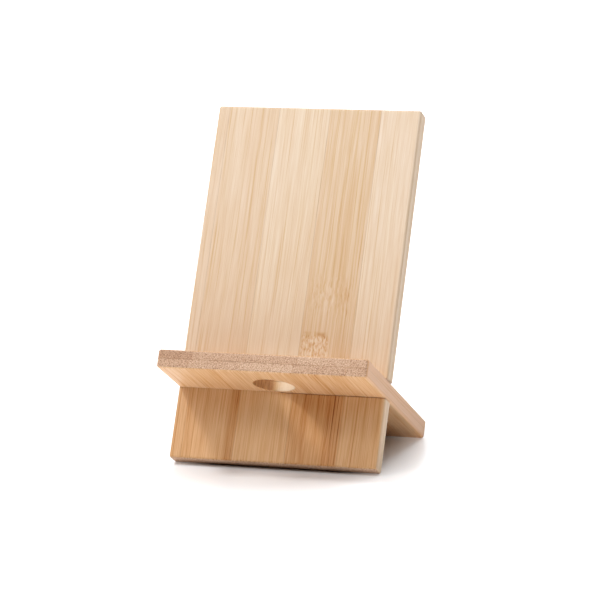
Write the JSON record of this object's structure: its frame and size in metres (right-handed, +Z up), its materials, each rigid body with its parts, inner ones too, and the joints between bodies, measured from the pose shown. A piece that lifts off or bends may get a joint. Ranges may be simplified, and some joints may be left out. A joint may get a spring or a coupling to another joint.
{
  "type": "phone and tablet stand",
  "caption": "Knock-down bamboo stand: a leaning back board and a sloping shelf board cross in a side-entry halving joint; a round hole in the shelf passes a charging plug.",
  "frame": {"origin": "on the table, under the middle of the stand's outline", "axes": "+X to the right across the boards, +Y to the rear, +Z up; the device faces -Y"},
  "size_m": [0.08, 0.0814, 0.1247],
  "materials": {
    "bamboo_pale": "satin clear-coated bamboo",
    "bamboo_light": "satin clear-coated bamboo",
    "bamboo_warm": "satin clear-coated bamboo",
    "bamboo_dark": "satin clear-coated bamboo"
  },
  "bodies": {
    "back_board": {"back_front_strip_1": "bamboo_light", "back_front_strip_2": "bamboo_light", "back_front_strip_3": "bamboo_pale", "back_front_strip_4_lower": "bamboo_warm", "back_front_strip_4_upper": "bamboo_warm", "back_front_strip_5_lower": "bamboo_pale", "back_front_strip_5_upper": "bamboo_pale", "back_rear_strip_1": "bamboo_pale", "back_rear_strip_2": "bamboo_warm", "back_rear_strip_3": "bamboo_light", "back_rear_strip_4_lower": "bamboo_light", "back_rear_strip_4_upper": "bamboo_light", "back_rear_strip_5_lower": "bamboo_warm", "back_rear_strip_5_upper": "bamboo_warm"},
    "shelf_board": {"shelf_top_strip_1_front": "bamboo_dark", "shelf_top_strip_1_rear": "bamboo_dark", "shelf_top_strip_2_front": "bamboo_warm", "shelf_top_strip_2_rear": "bamboo_warm", "shelf_top_strip_3": "bamboo_warm", "shelf_top_strip_4": "bamboo_light", "shelf_top_strip_5": "bamboo_warm", "shelf_bottom_strip_1_front": "bamboo_warm", "shelf_bottom_strip_1_rear": "bamboo_warm", "shelf_bottom_strip_2_front": "bamboo_light", "shelf_bottom_strip_2_rear": "bamboo_light", "shelf_bottom_strip_3": "bamboo_light", "shelf_bottom_strip_4": "bamboo_warm", "shelf_bottom_strip_5": "bamboo_dark"}
  },
  "joints": [
    {"name": "shelf_slide", "type": "slide", "parent": "back_board", "child": "shelf_board", "axis": [1, 0, 0], "range_m": [0, 0.085]}
  ]
}
